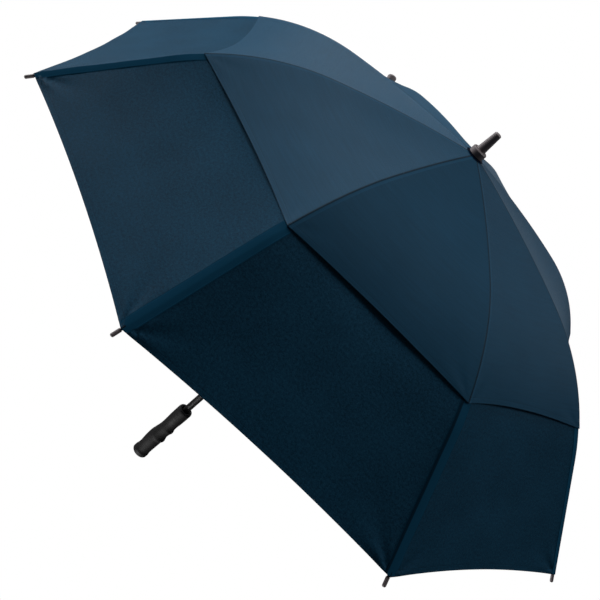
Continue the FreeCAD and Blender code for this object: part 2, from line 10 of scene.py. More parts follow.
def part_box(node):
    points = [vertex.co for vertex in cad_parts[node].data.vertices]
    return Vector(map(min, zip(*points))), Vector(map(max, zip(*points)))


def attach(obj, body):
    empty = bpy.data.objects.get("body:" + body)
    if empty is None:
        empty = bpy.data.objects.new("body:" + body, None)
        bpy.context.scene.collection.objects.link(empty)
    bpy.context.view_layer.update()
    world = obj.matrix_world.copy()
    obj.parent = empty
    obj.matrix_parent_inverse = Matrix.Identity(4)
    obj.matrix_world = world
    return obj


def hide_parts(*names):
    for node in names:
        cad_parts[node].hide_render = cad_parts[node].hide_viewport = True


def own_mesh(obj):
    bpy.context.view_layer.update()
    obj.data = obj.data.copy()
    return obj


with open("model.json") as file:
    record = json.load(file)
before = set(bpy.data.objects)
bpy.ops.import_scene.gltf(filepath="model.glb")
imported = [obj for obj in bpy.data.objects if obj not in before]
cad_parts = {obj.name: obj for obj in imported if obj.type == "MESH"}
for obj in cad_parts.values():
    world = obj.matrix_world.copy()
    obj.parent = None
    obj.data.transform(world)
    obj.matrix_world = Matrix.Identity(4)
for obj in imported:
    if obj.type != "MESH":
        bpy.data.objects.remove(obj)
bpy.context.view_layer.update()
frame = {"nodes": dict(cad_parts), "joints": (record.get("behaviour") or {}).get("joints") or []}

# ---------------------------------------------------------------------------------------------
# Driving dimensions, in metres. The seam line is the curve that the cloth follows over each rib,
# and a station is a distance along it from the crown.
# ---------------------------------------------------------------------------------------------
RIB_COUNT = 8
STEP = 2 * math.pi / RIB_COUNT
RIM_HEIGHT = 0.592
CROWN_RISE = 0.344  # from the rim up to the crown
CROWN_SLOPE = math.radians(7.3)
TOP_ARC = (0.288, 2.285)  # length, radius
SHOULDER_ARC = (0.2665, 0.456)
SKIRT_LENGTH = 0.206  # straight run from the shoulder to the rim
RIM_STATION = TOP_ARC[0] + SHOULDER_ARC[0] + SKIRT_LENGTH
SEAM_SAMPLES = 4000
SEAM_OVERRUN = 0.02  # how far past the rim it is sampled
NO_LENGTH = 1e-12

# Canopy layers. A drop is below the seam line, a sag is how far the cloth sinks between two ribs,
# and a scallop is how far its hem pulls in there.
CROWN_HOLE_RADIUS = 0.0128
VENT_RADIUS = 0.467
VENT_SCALLOP = 0.011
VENT_SAG = 0.0134
VENT_SAG_POWER = 1.5
UPPER_DROP = 0.0002
MOUTH_RADIUS = 0.388
MOUTH_SAG = 0.020
RIM_SCALLOP = 0.0085
RIM_SAG = 0.0050
LOWER_DROP = 0.0018
CLOTH = 0.00035
HEM_WIDTH = 0.009
HEM_EXTRA = 0.0006  # added thickness of the folded hem
HEM_STEP = 0.0012  # width of the step down from it
CROWN_LEAN = 0.36  # how much the shading of a panel tips outward beside the ferrule
CROWN_LEAN_REACH = 0.42  # station where that has died away
CROWN_GRID = (30, 13)  # rows down, and columns in each half
HEM_GRID = (24, 19)
LOWER_GRID = (60, 25)
COLUMN_CROWDING = 1.35  # above 1, the columns crowd towards the rib
PROBE_SHARE = 0.004  # steps by which the cloth's normals are measured
PROBE_STATION = 0.0012

# Small folds of the canopy. A turn is a phase, in radians.
WAVE_COUNT = 7
WAVE_LENGTHS = (0.09, 0.26)  # shortest, longest
SEED_STEP = 17  # from one panel's waves to the next one's
FAN_FALL = 1.3
FAN_START = 0.35  # share of its reach over which a fan rises from its corner
RELIEF_START = 0.02  # distance from a rib at which the folds have their full height
UPPER_FOLDS = {
    "seed": 5,
    "wave_height": 0.0007,
    "fan_height": 0.0004,
    "fan_reach": 0.06,
    "fan_count": 9,
    "fan_turn": 0.6,
    "fan_turn_per_panel": 1.0,
    "pucker_height": 0.00012,
    "pucker_pitch": 0.021,
    "pucker_reach": 0.010,
    "pucker_turn_per_panel": 1.0,
}
LOWER_FOLDS = {
    "seed": 11,
    "wave_height": 0.0008,
    "fan_height": 0.0019,
    "fan_reach": 0.055,
    "fan_count": 10,
    "fan_turn": 0.0,
    "fan_turn_per_panel": 1.3,
    "pucker_height": 0.0002,
    "pucker_pitch": 0.033,
    "pucker_reach": 0.016,
    "pucker_turn_per_panel": 2.0,
}

# Strips along the ribs of the lower canopy.
STRIP_HALF_WIDTH = 0.0118
STRIP_TIP_HALF_WIDTH = 0.0105
STRIP_TAPER = 0.020
STRIP_TUCK = 0.020  # how far it reaches in under the upper canopy
STRIP_END = 0.0012  # short of the rim
STRIP_LIFT = 0.00045
STRIP_LOWEST = 0.8  # share of the lift that a ripple leaves
STRIP_THICKNESS = 0.00025
STRIP_GRID = (70, 17)  # rows down, and columns across
STRIP_RIPPLE = 0.0002
STRIP_RIPPLE_PITCH = 0.083
STRIP_RIPPLES_ACROSS = 3
STRIP_LEANS = (0.0, 0.0, 0.0, 0.0, 0.0, 1.7, -0.4, 0.4)  # how far each strip is rolled over its ridge
STRIP_ROLL = 0.35  # how much further its edges are rolled than its middle
LARGEST_LEAN = 2
PLEATED_STRIP = 7  # this strip has a small pleat along one edge
PLEAT_ACROSS = -0.0085
PLEAT_HEIGHT = 0.0009
PLEAT_WIDTH = 0.0015
NO_PLEAT = 1.0  # distance from a pleat, where there is none
RIDGE_ROUNDING = 0.005
RIDGE_SHAVE = 0.0002

# Closure strap, along the ridge of one rib.
STRAP_RIB = 4
STRAP_HALF_WIDTH = 0.009
STRAP_START_RADIUS = 0.486
STRAP_END_RADIUS = 0.604
STRAP_THICKNESS = 0.0012
STRAP_LIFT = 0.0016
STRAP_BOW = 0.0010
STRAP_GRID = (60, 15)
STRAP_NARROWEST = 0.02  # squared share of its half width that is left at its round end
STRAP_EDGE_THINNING = 0.55

# Rosette, a cloth disc under the ferrule's collar.
ROSETTE_HOLE = 0.0102
ROSETTE_GRID = (9, 24 * RIB_COUNT + 1)  # rows outward, and columns around
ROSETTE_TEETH = 36
ROSETTE_TOOTH = 0.0005
ROSETTE_INSET = 0.0004  # of its edge from the CAD disc's
ROSETTE_LIFT = 0.0004
ROSETTE_THICKNESS = 0.0004
ROSETTE_WAVE = 0.0002
ROSETTE_EDGE = 0.02  # a distance from its edge at which no painted shade of a turned edge, and no stitch, shows
WELD_DISTANCE = 1e-6

# Thread lashings between the cloth and the ribs.
ROD_RADIUS = 0.002
ROD_DROP = 0.0056  # rib centre line below the seam line
THREAD_RADIUS = 0.0003
THREAD_PITCH = 0.0007
THREAD_TURNS = 4
THREAD_SIDES = 6
THREAD_POINTS = 14  # per turn
UPPER_TIES = (0.13, 0.25)  # stations
LOWER_TIES = (0.47, 0.585, 0.70)


def seam_state(station):
    """Radius, height and slope of the seam line at a station."""
    station = np.asarray(station, float)
    radius = np.zeros_like(station)
    height = np.full_like(station, RIM_HEIGHT + CROWN_RISE)
    slope = np.full_like(station, CROWN_SLOPE)
    left = station.copy()
    for length, bend in (TOP_ARC, SHOULDER_ARC):
        step = np.minimum(left, length)
        turned = slope + step / bend
        radius = radius + bend * (np.sin(turned) - np.sin(slope))
        height = height - bend * (np.cos(slope) - np.cos(turned))
        slope = turned
        left = left - step
    return radius + left * np.cos(slope), height - left * np.sin(slope), slope


def station_at(radius):
    """Station where the seam line has the given radius."""
    stations = np.linspace(0, RIM_STATION + SEAM_OVERRUN, SEAM_SAMPLES)
    return float(np.interp(radius, seam_state(stations)[0], stations))


VENT_STATION = station_at(VENT_RADIUS)
MOUTH_STATION = station_at(MOUTH_RADIUS)
CROWN_STATION = station_at(CROWN_HOLE_RADIUS)
KNUCKLE = Vector(next(j for j in frame["joints"] if j["name"] == "rib_1_flex")["pos_m"])
KNUCKLE_STATION = station_at(math.hypot(KNUCKLE.x, KNUCKLE.y))


# ---------------------------------------------------------------------------------------------
# Geometry helpers
# ---------------------------------------------------------------------------------------------
def smooth(low, high, value):
    """Smooth step from 0 at low to 1 at high."""
    t = np.clip((np.asarray(value, float) - low) / (high - low), 0, 1)
    return t * t * (3 - 2 * t)


def unit(vectors):
    """The same directions at length 1. A vector of no length stays as it is."""
    return vectors / np.maximum(np.linalg.norm(vectors, axis=-1, keepdims=True), NO_LENGTH)


def outward(slope, azimuth):
    """Directions that stand square on a slope and lean away from the shaft at an azimuth."""
    return np.stack([np.sin(slope) * np.cos(azimuth), np.sin(slope) * np.sin(azimuth), np.cos(slope)], -1)


def tangent(rib):
    """Unit vector around the shaft at a rib."""
    return (-math.sin(rib * STEP), math.cos(rib * STEP), 0.0)


def half_width(station):
    """Half the width of a flat panel at a station."""
    return seam_state(station)[0] * math.sin(STEP / 2)


def panel_middle(rib, side):
    """Azimuth of the middle of the panel beside a rib. side is 1 towards the next rib or -1 towards
    the last one."""
    return (rib + side * 0.5) * STEP


def bulge(share):
    """0 at both ribs of a panel and 1 in its middle. share runs from 0 at one rib to 1 at the other."""
    return 4 * share * (1 - share)


def grid_area(points):
    """Area of a grid's surface."""
    down = points[1:, :-1] - points[:-1, :-1]
    along = points[:-1, 1:] - points[:-1, :-1]
    return float(np.linalg.norm(np.cross(down, along), axis=-1).sum())


def grid_normals(points):
    """Outward normals of a grid whose rows run from the crown down and whose columns run around."""
    return unit(np.cross(np.gradient(points, axis=0), np.gradient(points, axis=1)))


def grid_faces(rows, columns):
    """Corner numbers of a grid's quads, and the ring of corners around them."""
    index = np.arange(rows * columns).reshape(rows, columns)
    quads = np.stack([index[:-1, :-1], index[1:, :-1], index[1:, 1:], index[:-1, 1:]], -1).reshape(-1, 4)
    ring = np.concatenate([index[0, :], index[1:, -1], index[-1, -2::-1], index[-2:0:-1, 0]])
    return quads, ring


def smooth_object(name, vertices, faces):
    """Smoothly shaded mesh object."""
    mesh = bpy.data.meshes.new(name)
    mesh.from_pydata(vertices, [], faces)
    mesh.polygons.foreach_set("use_smooth", np.ones(len(faces), bool))
    obj = bpy.data.objects.new(name, mesh)
    bpy.context.collection.objects.link(obj)
    return obj


def thin_mesh(name, points, normals, thickness, weave, edges):
    """Closed thin piece over a grid of points: two faces, and a wall around them. normals holds one
    grid, or two where the shading is creased along the middle column."""
    if normals.ndim == 3:
        normals = np.stack([normals, normals])
    rows, columns = points.shape[:2]
    count = rows * columns
    quads, ring = grid_faces(rows, columns)
    half = unit(normals[0] + normals[1]) * (thickness / 2)[..., None]
    vertices = np.concatenate([(points + half).reshape(-1, 3), (points - half).reshape(-1, 3)])
    past_crease = (np.arange(columns - 1) >= (columns - 1) // 2).astype(int)
    past_crease = np.broadcast_to(past_crease, (rows - 1, columns - 1)).reshape(-1)
    face_normals = normals.reshape(2, -1, 3)[past_crease[:, None], quads]
    following = np.roll(ring, -1)
    wall = np.stack([ring, following, following + count, ring + count], -1)
    wall_along = vertices[wall[:, 1]] - vertices[wall[:, 0]]
    wall_down = vertices[wall[:, 3]] - vertices[wall[:, 0]]
    wall_normals = np.repeat(unit(np.cross(wall_along, wall_down))[:, None, :], 4, 1)
    faces = np.concatenate([quads, quads[:, ::-1] + count, wall])
    corner_normals = np.concatenate([face_normals, -face_normals[:, ::-1], wall_normals])
    obj = smooth_object(name, vertices.tolist(), faces.tolist())
    for title, values in (("weave", weave), ("edges", edges)):
        layer = obj.data.uv_layers.new(name=title)
        layer.data.foreach_set("uv", values.reshape(-1, 2)[faces % count].astype(np.float32).ravel())
    obj.data.normals_split_custom_set(corner_normals.reshape(-1, 3).tolist())
    return obj


# ---------------------------------------------------------------------------------------------
# Canopy
# ---------------------------------------------------------------------------------------------
def upper_sag(station):
    """Sag of the upper canopy, which deepens from none at the crown to the vent's hem."""
    return VENT_SAG * np.maximum(station / VENT_STATION, 0) ** VENT_SAG_POWER


def lower_sag(station):
    """Sag of the lower canopy, which goes evenly from the mouth's to the rim's."""
    share = (RIM_STATION - station) / (RIM_STATION - MOUTH_STATION)
    return RIM_SAG + (MOUTH_SAG - RIM_SAG) * share


def waves(panel, u, v, seed):
    """Slow unevenness of a stretched panel: a few seeded long waves, the same at every run."""
    rng = np.random.default_rng(seed + SEED_STEP * panel)
    total = np.zeros_like(u)
    for _ in range(WAVE_COUNT):
        pitch = rng.uniform(*WAVE_LENGTHS)
        angle = rng.uniform(0, math.pi)
        phase = rng.uniform(0, 2 * math.pi)
        total += np.sin(2 * math.pi * (u * math.cos(angle) + v * math.sin(angle)) / pitch + phase)
    return total / WAVE_COUNT


def fan(u, v, corner_u, corner_v, reach, count, turn):
    """Tension folds that spread from a pulled corner and die out over a reach."""
    du = u - corner_u
    dv = v - corner_v
    distance = np.hypot(du, dv)
    fade = np.exp(-((distance / reach) ** FAN_FALL)) * smooth(0, FAN_START * reach, distance)
    return fade * np.sin(count * np.arctan2(du, -dv) + turn)


class Layer:
    """One canopy layer: where its cloth lies, its small folds and its hem."""

    def __init__(self, drop, sag, folds, outer, scallop, crown_lean=0.0):
        self.drop = drop
        self.sag = sag
        self.folds = folds
        self.outer = outer
        self.scallop = scallop
        self.crown_lean = crown_lean

    def hem_station(self, share):
        return self.outer - self.scallop * bulge(share)

    def relief(self, panel, u, v, ridge):
        """Height of the small folds, outward. u and v are places on the flat panel, across from its
        middle and down from the crown, and ridge is the distance from the nearest rib."""
        folds = self.folds
        turn = folds["fan_turn"] + folds["fan_turn_per_panel"] * panel
        corner = float(half_width(self.outer))
        spread = fan(np.abs(u), v, corner, self.outer, folds["fan_reach"], folds["fan_count"], turn)
        pucker = np.sin(2 * math.pi * v / folds["pucker_pitch"] + folds["pucker_turn_per_panel"] * panel)
        pucker = pucker * np.exp(-ridge / folds["pucker_reach"])
        slow = folds["wave_height"] * waves(panel, u, v, folds["seed"])
        return slow + folds["fan_height"] * spread + folds["pucker_height"] * pucker

    def point(self, rib, side, station, share, lift=0.0):
        """Points in the middle of the cloth's thickness, raised by lift along the panel's outward
        direction. share runs from 0 at the rib to 0.5 in the middle of the panel."""
        radius, height, slope = seam_state(station)
        radius = radius - self.drop * np.sin(slope)
        height = height - self.drop * np.cos(slope)
        here = rib * STEP
        there = here + side * STEP
        x = radius * (math.cos(here) * (1 - share) + math.cos(there) * share)
        y = radius * (math.sin(here) * (1 - share) + math.sin(there) * share)
        half = half_width(station)
        u = -side * half * (1 - 2 * share)
        ridge = 2 * half * np.minimum(share, 1 - share)
        panel = (rib + min(side, 0)) % RIB_COUNT
        folds = self.relief(panel, u, station, ridge) * smooth(0.0, RELIEF_START, ridge)
        rise = folds + lift - self.sag(station) * bulge(share)
        return np.stack([x, y, height], -1) + outward(slope, panel_middle(rib, side)) * rise[..., None]

    def normal(self, rib, side, station, share):
        """Outward normals of the cloth, tipped further outward near the crown by crown_lean."""
        near = self.point(rib, side, station, np.maximum(share - PROBE_SHARE, 0))
        far = self.point(rib, side, station, share + PROBE_SHARE)
        above = self.point(rib, side, station - PROBE_STATION, share)
        below = self.point(rib, side, station + PROBE_STATION, share)
        found = unit(np.cross(below - above, (far - near) * side))
        middle = panel_middle(rib, side)
        away = np.array([math.cos(middle), math.sin(middle), 0])
        lean = self.crown_lean * (1 - smooth(0.0, CROWN_LEAN_REACH, station))
        return unit(found + away * lean[..., None])


UPPER = Layer(UPPER_DROP, upper_sag, UPPER_FOLDS, VENT_STATION, VENT_SCALLOP, CROWN_LEAN)
LOWER = Layer(LOWER_DROP, lower_sag, LOWER_FOLDS, RIM_STATION, RIM_SCALLOP)


def half_sector(layer, rib, side, first, last, grid):
    """Grids of one side of a sector, from its rib to the middle of the panel. weave holds places on
    the flat cloth, and edges holds the distances from the rib and from the hem."""
    rows, columns = grid
    share = 0.5 * np.linspace(0, 1, columns) ** COLUMN_CROWDING
    down = np.linspace(0, 1, rows)[:, None]
    finish = layer.hem_station(share) if last is None else np.full_like(share, last)
    station = first + (finish - first)[None, :] * down
    share = np.broadcast_to(share, station.shape)
    half = half_width(station)
    return {
        "points": layer.point(rib, side, station, share),
        "normals": layer.normal(rib, side, station, share),
        "weave": np.stack([-side * half * (1 - 2 * share), station], -1),
        "edges": np.stack([2 * half * share, layer.hem_station(share) - station], -1),
    }


def sector(name, layer, rib, first, last, grid, mouth_hem=False):
    """One rib's share of a canopy layer, from the middle of one panel to the middle of the next. It
    ends in a hem where last is None, and otherwise at that station. Returns the piece and its area."""
    left, right = (half_sector(layer, rib, side, first, last, grid) for side in (-1, 1))

    def joined(key, keep_left=False):
        """Left half, reversed, followed by the right half. They share the rib's column."""
        reversed_left = left[key][:, ::-1]
        if keep_left:
            return np.concatenate([reversed_left, right[key][:, 1:]], 1)
        return np.concatenate([reversed_left[:, :-1], right[key]], 1)

    points = joined("points")
    weave = joined("weave")
    edges = joined("edges")
    normals = np.stack([joined("normals", keep_left=True), joined("normals")])
    thickness = np.full(points.shape[:2], CLOTH)
    if last is None:
        thickness += HEM_EXTRA * (1 - smooth(HEM_WIDTH - HEM_STEP, HEM_WIDTH, edges[..., 1]))
    if mouth_hem:
        thickness += HEM_EXTRA * (1 - smooth(HEM_WIDTH, HEM_WIDTH + HEM_STEP, weave[..., 1] - first))
    return thin_mesh(name, points, normals, thickness, weave, edges), grid_area(points)


def declare_cloth(obj, body):
    """Makes a piece of the canopy ride its body, on a mesh of its own."""
    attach(obj, body)
    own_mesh(obj)


def build_canopy(materials):
    """Both canopy layers. The upper one is cut at the knuckle, where the rib flexes as it folds."""
    for rib in range(RIB_COUNT):
        number = rib + 1
        inner = f"inner_rib_{number}"
        outer = f"outer_rib_{number}"
        top, area = sector(
            f"cloth_upper_crown_{number}", UPPER, rib, CROWN_STATION, KNUCKLE_STATION, CROWN_GRID
        )
        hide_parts(f"upper_canopy_{number}")
        declare_cloth(top, inner)
        hem, area = sector(f"cloth_upper_hem_{number}", UPPER, rib, KNUCKLE_STATION, None, HEM_GRID)
        declare_cloth(hem, outer)
        low, area = sector(
            f"cloth_lower_{number}", LOWER, rib, MOUTH_STATION, None, LOWER_GRID, mouth_hem=True
        )
        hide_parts(f"lower_canopy_{number}")
        declare_cloth(low, outer)
        for piece, look in ((top, "upper"), (hem, "upper"), (low, "lower")):
            piece.data.materials.append(materials[look])


# ---------------------------------------------------------------------------------------------
# Pieces that lie on the canopy
# ---------------------------------------------------------------------------------------------
def ridge_directions(rib, lean, station):
    """Outward directions around a rib that turn evenly from one panel's to the next as lean runs from
    -1 to 1, and a little beyond."""
    azimuth = (rib + 0.5 * np.clip(lean, -LARGEST_LEAN, LARGEST_LEAN)) * STEP
    return outward(seam_state(station)[2], azimuth)


def over_ridge(rib, across, station, lift, round_reach):
    """Points above the lower canopy around a rib, at signed distances across it, with the ridge
    rounded off over a reach."""
    share = np.abs(across) / (2 * half_width(station))
    left = LOWER.point(rib, -1, station, share)
    right = LOWER.point(rib, 1, station, share)
    points = np.where((across < 0)[..., None], left, right)
    lean = np.clip(across / round_reach, -1, 1)
    shave = RIDGE_SHAVE * (1 - np.abs(lean)) ** 2
    return points + ridge_directions(rib, lean, station) * (lift - shave)[..., None]


def rib_strip(rib, material):
    """Smooth strip sewn along a rib of the lower canopy, from under the vent to the tip."""
    rows, columns = STRIP_GRID
    first = VENT_STATION - STRIP_TUCK
    down = np.linspace(0, 1, rows)[:, None]
    side = np.linspace(-1, 1, columns)[None, :]
    station = first + (RIM_STATION - STRIP_END - first) * down
    narrowing = 1 - smooth(RIM_STATION - STRIP_TAPER, RIM_STATION, station)
    reach = STRIP_TIP_HALF_WIDTH + (STRIP_HALF_WIDTH - STRIP_TIP_HALF_WIDTH) * narrowing
    ripple = STRIP_RIPPLE * np.sin(2 * math.pi * station / STRIP_RIPPLE_PITCH + rib)
    ripple = ripple * np.sin(STRIP_RIPPLES_ACROSS * side + rib) * (side != 0)
    across, station = np.broadcast_arrays(side * reach, station)
    lift = np.maximum(STRIP_LIFT + ripple, STRIP_LIFT * STRIP_LOWEST)
    from_pleat = np.full_like(across, NO_PLEAT)
    if rib == PLEATED_STRIP:
        from_pleat = np.abs(across - PLEAT_ACROSS)
    lift = lift + PLEAT_HEIGHT * np.exp(-((from_pleat / PLEAT_WIDTH) ** 2))
    points = over_ridge(rib, across, station, lift, RIDGE_ROUNDING)
    normals = ridge_directions(rib, STRIP_LEANS[rib] + STRIP_ROLL * across / STRIP_HALF_WIDTH, station)
    thickness = np.full(points.shape[:2], STRIP_THICKNESS)
    weave = np.stack([across, station], -1)
    edges = np.stack([reach - np.abs(across), from_pleat], -1)
    obj = thin_mesh(f"rib_strip_{rib + 1}", points, normals, thickness, weave, edges)
    obj.data.materials.append(material)
    declare_cloth(obj, f"outer_rib_{rib + 1}")


def closure_strap(material):
    """Folded and stitched strap that lies along its rib, with a rounded free end."""
    rib = STRAP_RIB - 1
    rows, columns = STRAP_GRID
    first = station_at(STRAP_START_RADIUS)
    length = station_at(STRAP_END_RADIUS) - first
    down = np.linspace(0, 1, rows)[:, None]
    side = np.linspace(-1, 1, columns)[None, :]
    station = first + length * down
    from_end = np.clip((station - first) / STRAP_HALF_WIDTH, 0, 1)
    reach = STRAP_HALF_WIDTH * np.sqrt(np.clip(1 - (1 - from_end) ** 2, STRAP_NARROWEST, 1))
    across, station = np.broadcast_arrays(side * reach, station)
    bow = STRAP_BOW * np.sin(math.pi * np.clip((station - first) / length, 0, 1)) ** 2
    points = over_ridge(rib, across, station, STRAP_LIFT + bow, STRAP_HALF_WIDTH)
    thickness = STRAP_THICKNESS * (1 - STRAP_EDGE_THINNING * side**6) * np.ones_like(station)
    weave = np.stack([across, station], -1)
    edges = np.stack([reach - np.abs(across), np.full_like(across, NO_PLEAT)], -1)
    obj = thin_mesh("closure_strap_cloth", points, grid_normals(points), thickness, weave, edges)
    obj.data.materials.append(material)
    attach(obj, f"outer_rib_{STRAP_RIB}")
    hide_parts("closure_strap")


def build_rosette(material):
    """Cloth disc with a pinked edge under the ferrule's collar."""
    low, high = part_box("rosette")
    outer = high.x
    rows, columns = ROSETTE_GRID
    turns = np.linspace(0, 2 * math.pi, columns)[None, :]
    share = np.linspace(0, 1, rows)[:, None]
    tooth = np.abs(np.mod(turns * ROSETTE_TEETH / math.pi, 2) - 1) - 0.5
    edge = outer - ROSETTE_INSET + ROSETTE_TOOTH * tooth
    radius = ROSETTE_HOLE + (edge - ROSETTE_HOLE) * share
    height = low.z + ROSETTE_LIFT + (outer - radius) * math.tan(CROWN_SLOPE)
    height = height + ROSETTE_WAVE * share * np.sin(RIB_COUNT * turns)
    points = np.stack([radius * np.cos(turns), radius * np.sin(turns), height], -1)
    thickness = np.full(points.shape[:2], ROSETTE_THICKNESS)
    edges = np.stack([np.full_like(radius, ROSETTE_EDGE), np.full_like(radius, NO_PLEAT)], -1)
    obj = thin_mesh("rosette_disc", points, grid_normals(points), thickness, points[..., :2], edges)
    weld(obj)
    obj.data.materials.append(material)
    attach(obj, "shaft")
    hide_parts("rosette")


def weld(obj):
    """Joins the two ends of a ring-shaped grid and drops the wall between them."""
    mesh = bmesh.new()
    mesh.from_mesh(obj.data)
    bmesh.ops.remove_doubles(mesh, verts=mesh.verts, dist=WELD_DISTANCE)
    inside = [face for face in mesh.faces if sum(len(edge.link_faces) > 2 for edge in face.edges) > 1]
    bmesh.ops.delete(mesh, geom=inside, context="FACES_ONLY")
    mesh.to_mesh(obj.data)
    mesh.free()


# ---------------------------------------------------------------------------------------------
# Thread lashings
# ---------------------------------------------------------------------------------------------
def thread_coil(place, along, across, out, reach_across, reach_out):
    """Tube of thread wound round and round in an oval: its points and its faces."""
    turn = np.linspace(0, 2 * math.pi * THREAD_TURNS, THREAD_POINTS * THREAD_TURNS + 1)[:, None]
    advance = THREAD_PITCH * (turn / (2 * math.pi) - THREAD_TURNS / 2)
    line = place + along * advance + across * reach_across * np.cos(turn) + out * reach_out * np.sin(turn)
    forward = unit(np.gradient(line, axis=0))
    radial = across * np.cos(turn) + out * np.sin(turn)
    side = np.cross(forward, radial)
    around = np.linspace(0, 2 * math.pi, THREAD_SIDES, endpoint=False)[None, :, None]
    offset = np.cos(around) * radial[:, None] + np.sin(around) * side[:, None]
    points = (line[:, None] + THREAD_RADIUS * offset).reshape(-1, 3)
    index = np.arange(len(points)).reshape(-1, THREAD_SIDES)
    beside = np.roll(index, -1, axis=1)
    quads = np.stack([index[:-1], beside[:-1], beside[1:], index[1:]], -1).reshape(-1, 4).tolist()
    return points, quads + [index[0, ::-1].tolist(), index[-1].tolist()]


def rib_ties(name, rib, body, stations, cloth_drop, material):
    """Thread lashings that hold the cloth to its rib, as one piece. Each goes over the cloth and under
    the rod."""
    points = []
    faces = []
    low = ROD_DROP + ROD_RADIUS + THREAD_RADIUS
    around = np.array(tangent(rib))
    for station in stations:
        radius, height, slope = (float(value) for value in seam_state(station))
        away = np.array([math.cos(rib * STEP), math.sin(rib * STEP), 0])
        up = np.array([0, 0, 1])
        along = away * math.cos(slope) - up * math.sin(slope)
        out = away * math.sin(slope) + up * math.cos(slope)
        place = away * radius + up * height - out * (low + cloth_drop) / 2
        reach = (low - cloth_drop) / 2
        coil, coil_faces = thread_coil(place, along, around, out, ROD_RADIUS + THREAD_RADIUS, reach)
        start = sum(len(part) for part in points)
        points.append(coil)
        faces += [[start + corner for corner in face] for face in coil_faces]
    obj = smooth_object(name, np.concatenate(points).tolist(), faces)
    obj.data.materials.append(material)
    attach(obj, body)


def build_ties(material):
    """Lashings of both canopy layers on every rib."""
    for rib in range(RIB_COUNT):
        number = rib + 1
        rib_ties(f"ties_upper_{number}", rib, f"inner_rib_{number}", UPPER_TIES, UPPER_DROP, material)
        rib_ties(f"ties_lower_{number}", rib, f"outer_rib_{number}", LOWER_TIES, LOWER_DROP, material)


# ---------------------------------------------------------------------------------------------
# Node helpers
# ---------------------------------------------------------------------------------------------
class Graph:
    """Small helper for building a material's nodes."""

    def __init__(self, name):
        self.material = bpy.data.materials.new(name)
        self.material.use_nodes = True
        self.nodes = self.material.node_tree.nodes
        self.links = self.material.node_tree.links
        self.shader = self.nodes["Principled BSDF"]

    def add(self, kind, **settings):
        node = self.nodes.new(kind)
        for key, value in settings.items():
            setattr(node, key, value)
        return node

    def feed(self, socket, value):
        """Gives a socket a number or a colour, or links it to another node's output."""
        if isinstance(value, tuple):
            socket.default_value = (*value, 1)
        elif isinstance(value, (int, float)):
            socket.default_value = value
        else:
            self.links.new(value, socket)

    def calculate(self, operation, *values, clamp=False):
        node = self.add("ShaderNodeMath", operation=operation, use_clamp=clamp)
        for socket, value in zip(node.inputs, values):
            self.feed(socket, value)
        return node.outputs[0]

    def plus(self, first, second, clamp=False):
        return self.calculate("ADD", first, second, clamp=clamp)

    def minus(self, first, second):
        return self.calculate("SUBTRACT", first, second)

    def times(self, first, second):
        return self.calculate("MULTIPLY", first, second)

    def below(self, value, high, soft):
        """1 below high, with a soft edge."""
        return self.calculate("DIVIDE", self.minus(high + soft / 2, value), soft, clamp=True)

    def band(self, value, low, high, soft):
        """1 between low and high, with soft edges."""
        rise = self.calculate("DIVIDE", self.minus(value, low - soft / 2), soft, clamp=True)
        return self.times(rise, self.below(value, high, soft))

    def span(self, value, source, target):
        """Stretches the range source of a value to the range target, and keeps it inside."""
        node = self.add("ShaderNodeMapRange")
        keys = ("Value", "From Min", "From Max", "To Min", "To Max")
        for key, number in zip(keys, (value, *source, *target)):
            self.feed(node.inputs[key], number)
        return node.outputs["Result"]

    def mix_colour(self, factor, first, second):
        node = self.add("ShaderNodeMix", data_type="RGBA")
        for number, value in ((0, factor), (6, first), (7, second)):
            self.feed(node.inputs[number], value)
        return node.outputs[2]

    def tint(self, base, mask, strength, towards):
        """Mixes a colour into the base where a mask is 1."""
        return self.mix_colour(self.times(mask, strength), base, towards)

    def noise(self, vector, scale, detail, roughness):
        node = self.add("ShaderNodeTexNoise")
        self.links.new(vector, node.inputs["Vector"])
        for key, number in (("Scale", scale), ("Detail", detail), ("Roughness", roughness)):
            node.inputs[key].default_value = number
        return node.outputs["Fac"]

    def stretch(self, vector, scale):
        node = self.add("ShaderNodeMapping")
        node.inputs["Scale"].default_value = scale
        self.links.new(vector, node.inputs["Vector"])
        return node.outputs["Vector"]

    def bump(self, height, strength, distance, over=None):
        """Bumps from a height, over another bump's normal where there is one."""
        node = self.add("ShaderNodeBump")
        for key, value in (("Height", height), ("Strength", strength), ("Distance", distance)):
            self.feed(node.inputs[key], value)
        if over is not None:
            self.links.new(over, node.inputs["Normal"])
        return node.outputs["Normal"]

    def object_vector(self):
        return self.add("ShaderNodeTexCoord").outputs["Object"]

    def uv_axes(self, name):
        """The two coordinates of a cloth piece's layer, and its vector."""
        vector = self.add("ShaderNodeUVMap", uv_map=name).outputs["UV"]
        split = self.add("ShaderNodeSeparateXYZ")
        self.links.new(vector, split.inputs["Vector"])
        return split.outputs["X"], split.outputs["Y"], vector

    def finish(self, base, roughness, specular, normal=None):
        """Connects the shader. Returns the material."""
        self.feed(self.shader.inputs["Base Color"], base)
        self.feed(self.shader.inputs["Roughness"], roughness)
        self.feed(self.shader.inputs["Specular IOR Level"], specular)
        if normal is not None:
            self.links.new(normal, self.shader.inputs["Normal"])
        return self.material


def shade(colour, factor):
    """A colour, made brighter or darker."""
    return tuple(factor * channel for channel in colour)


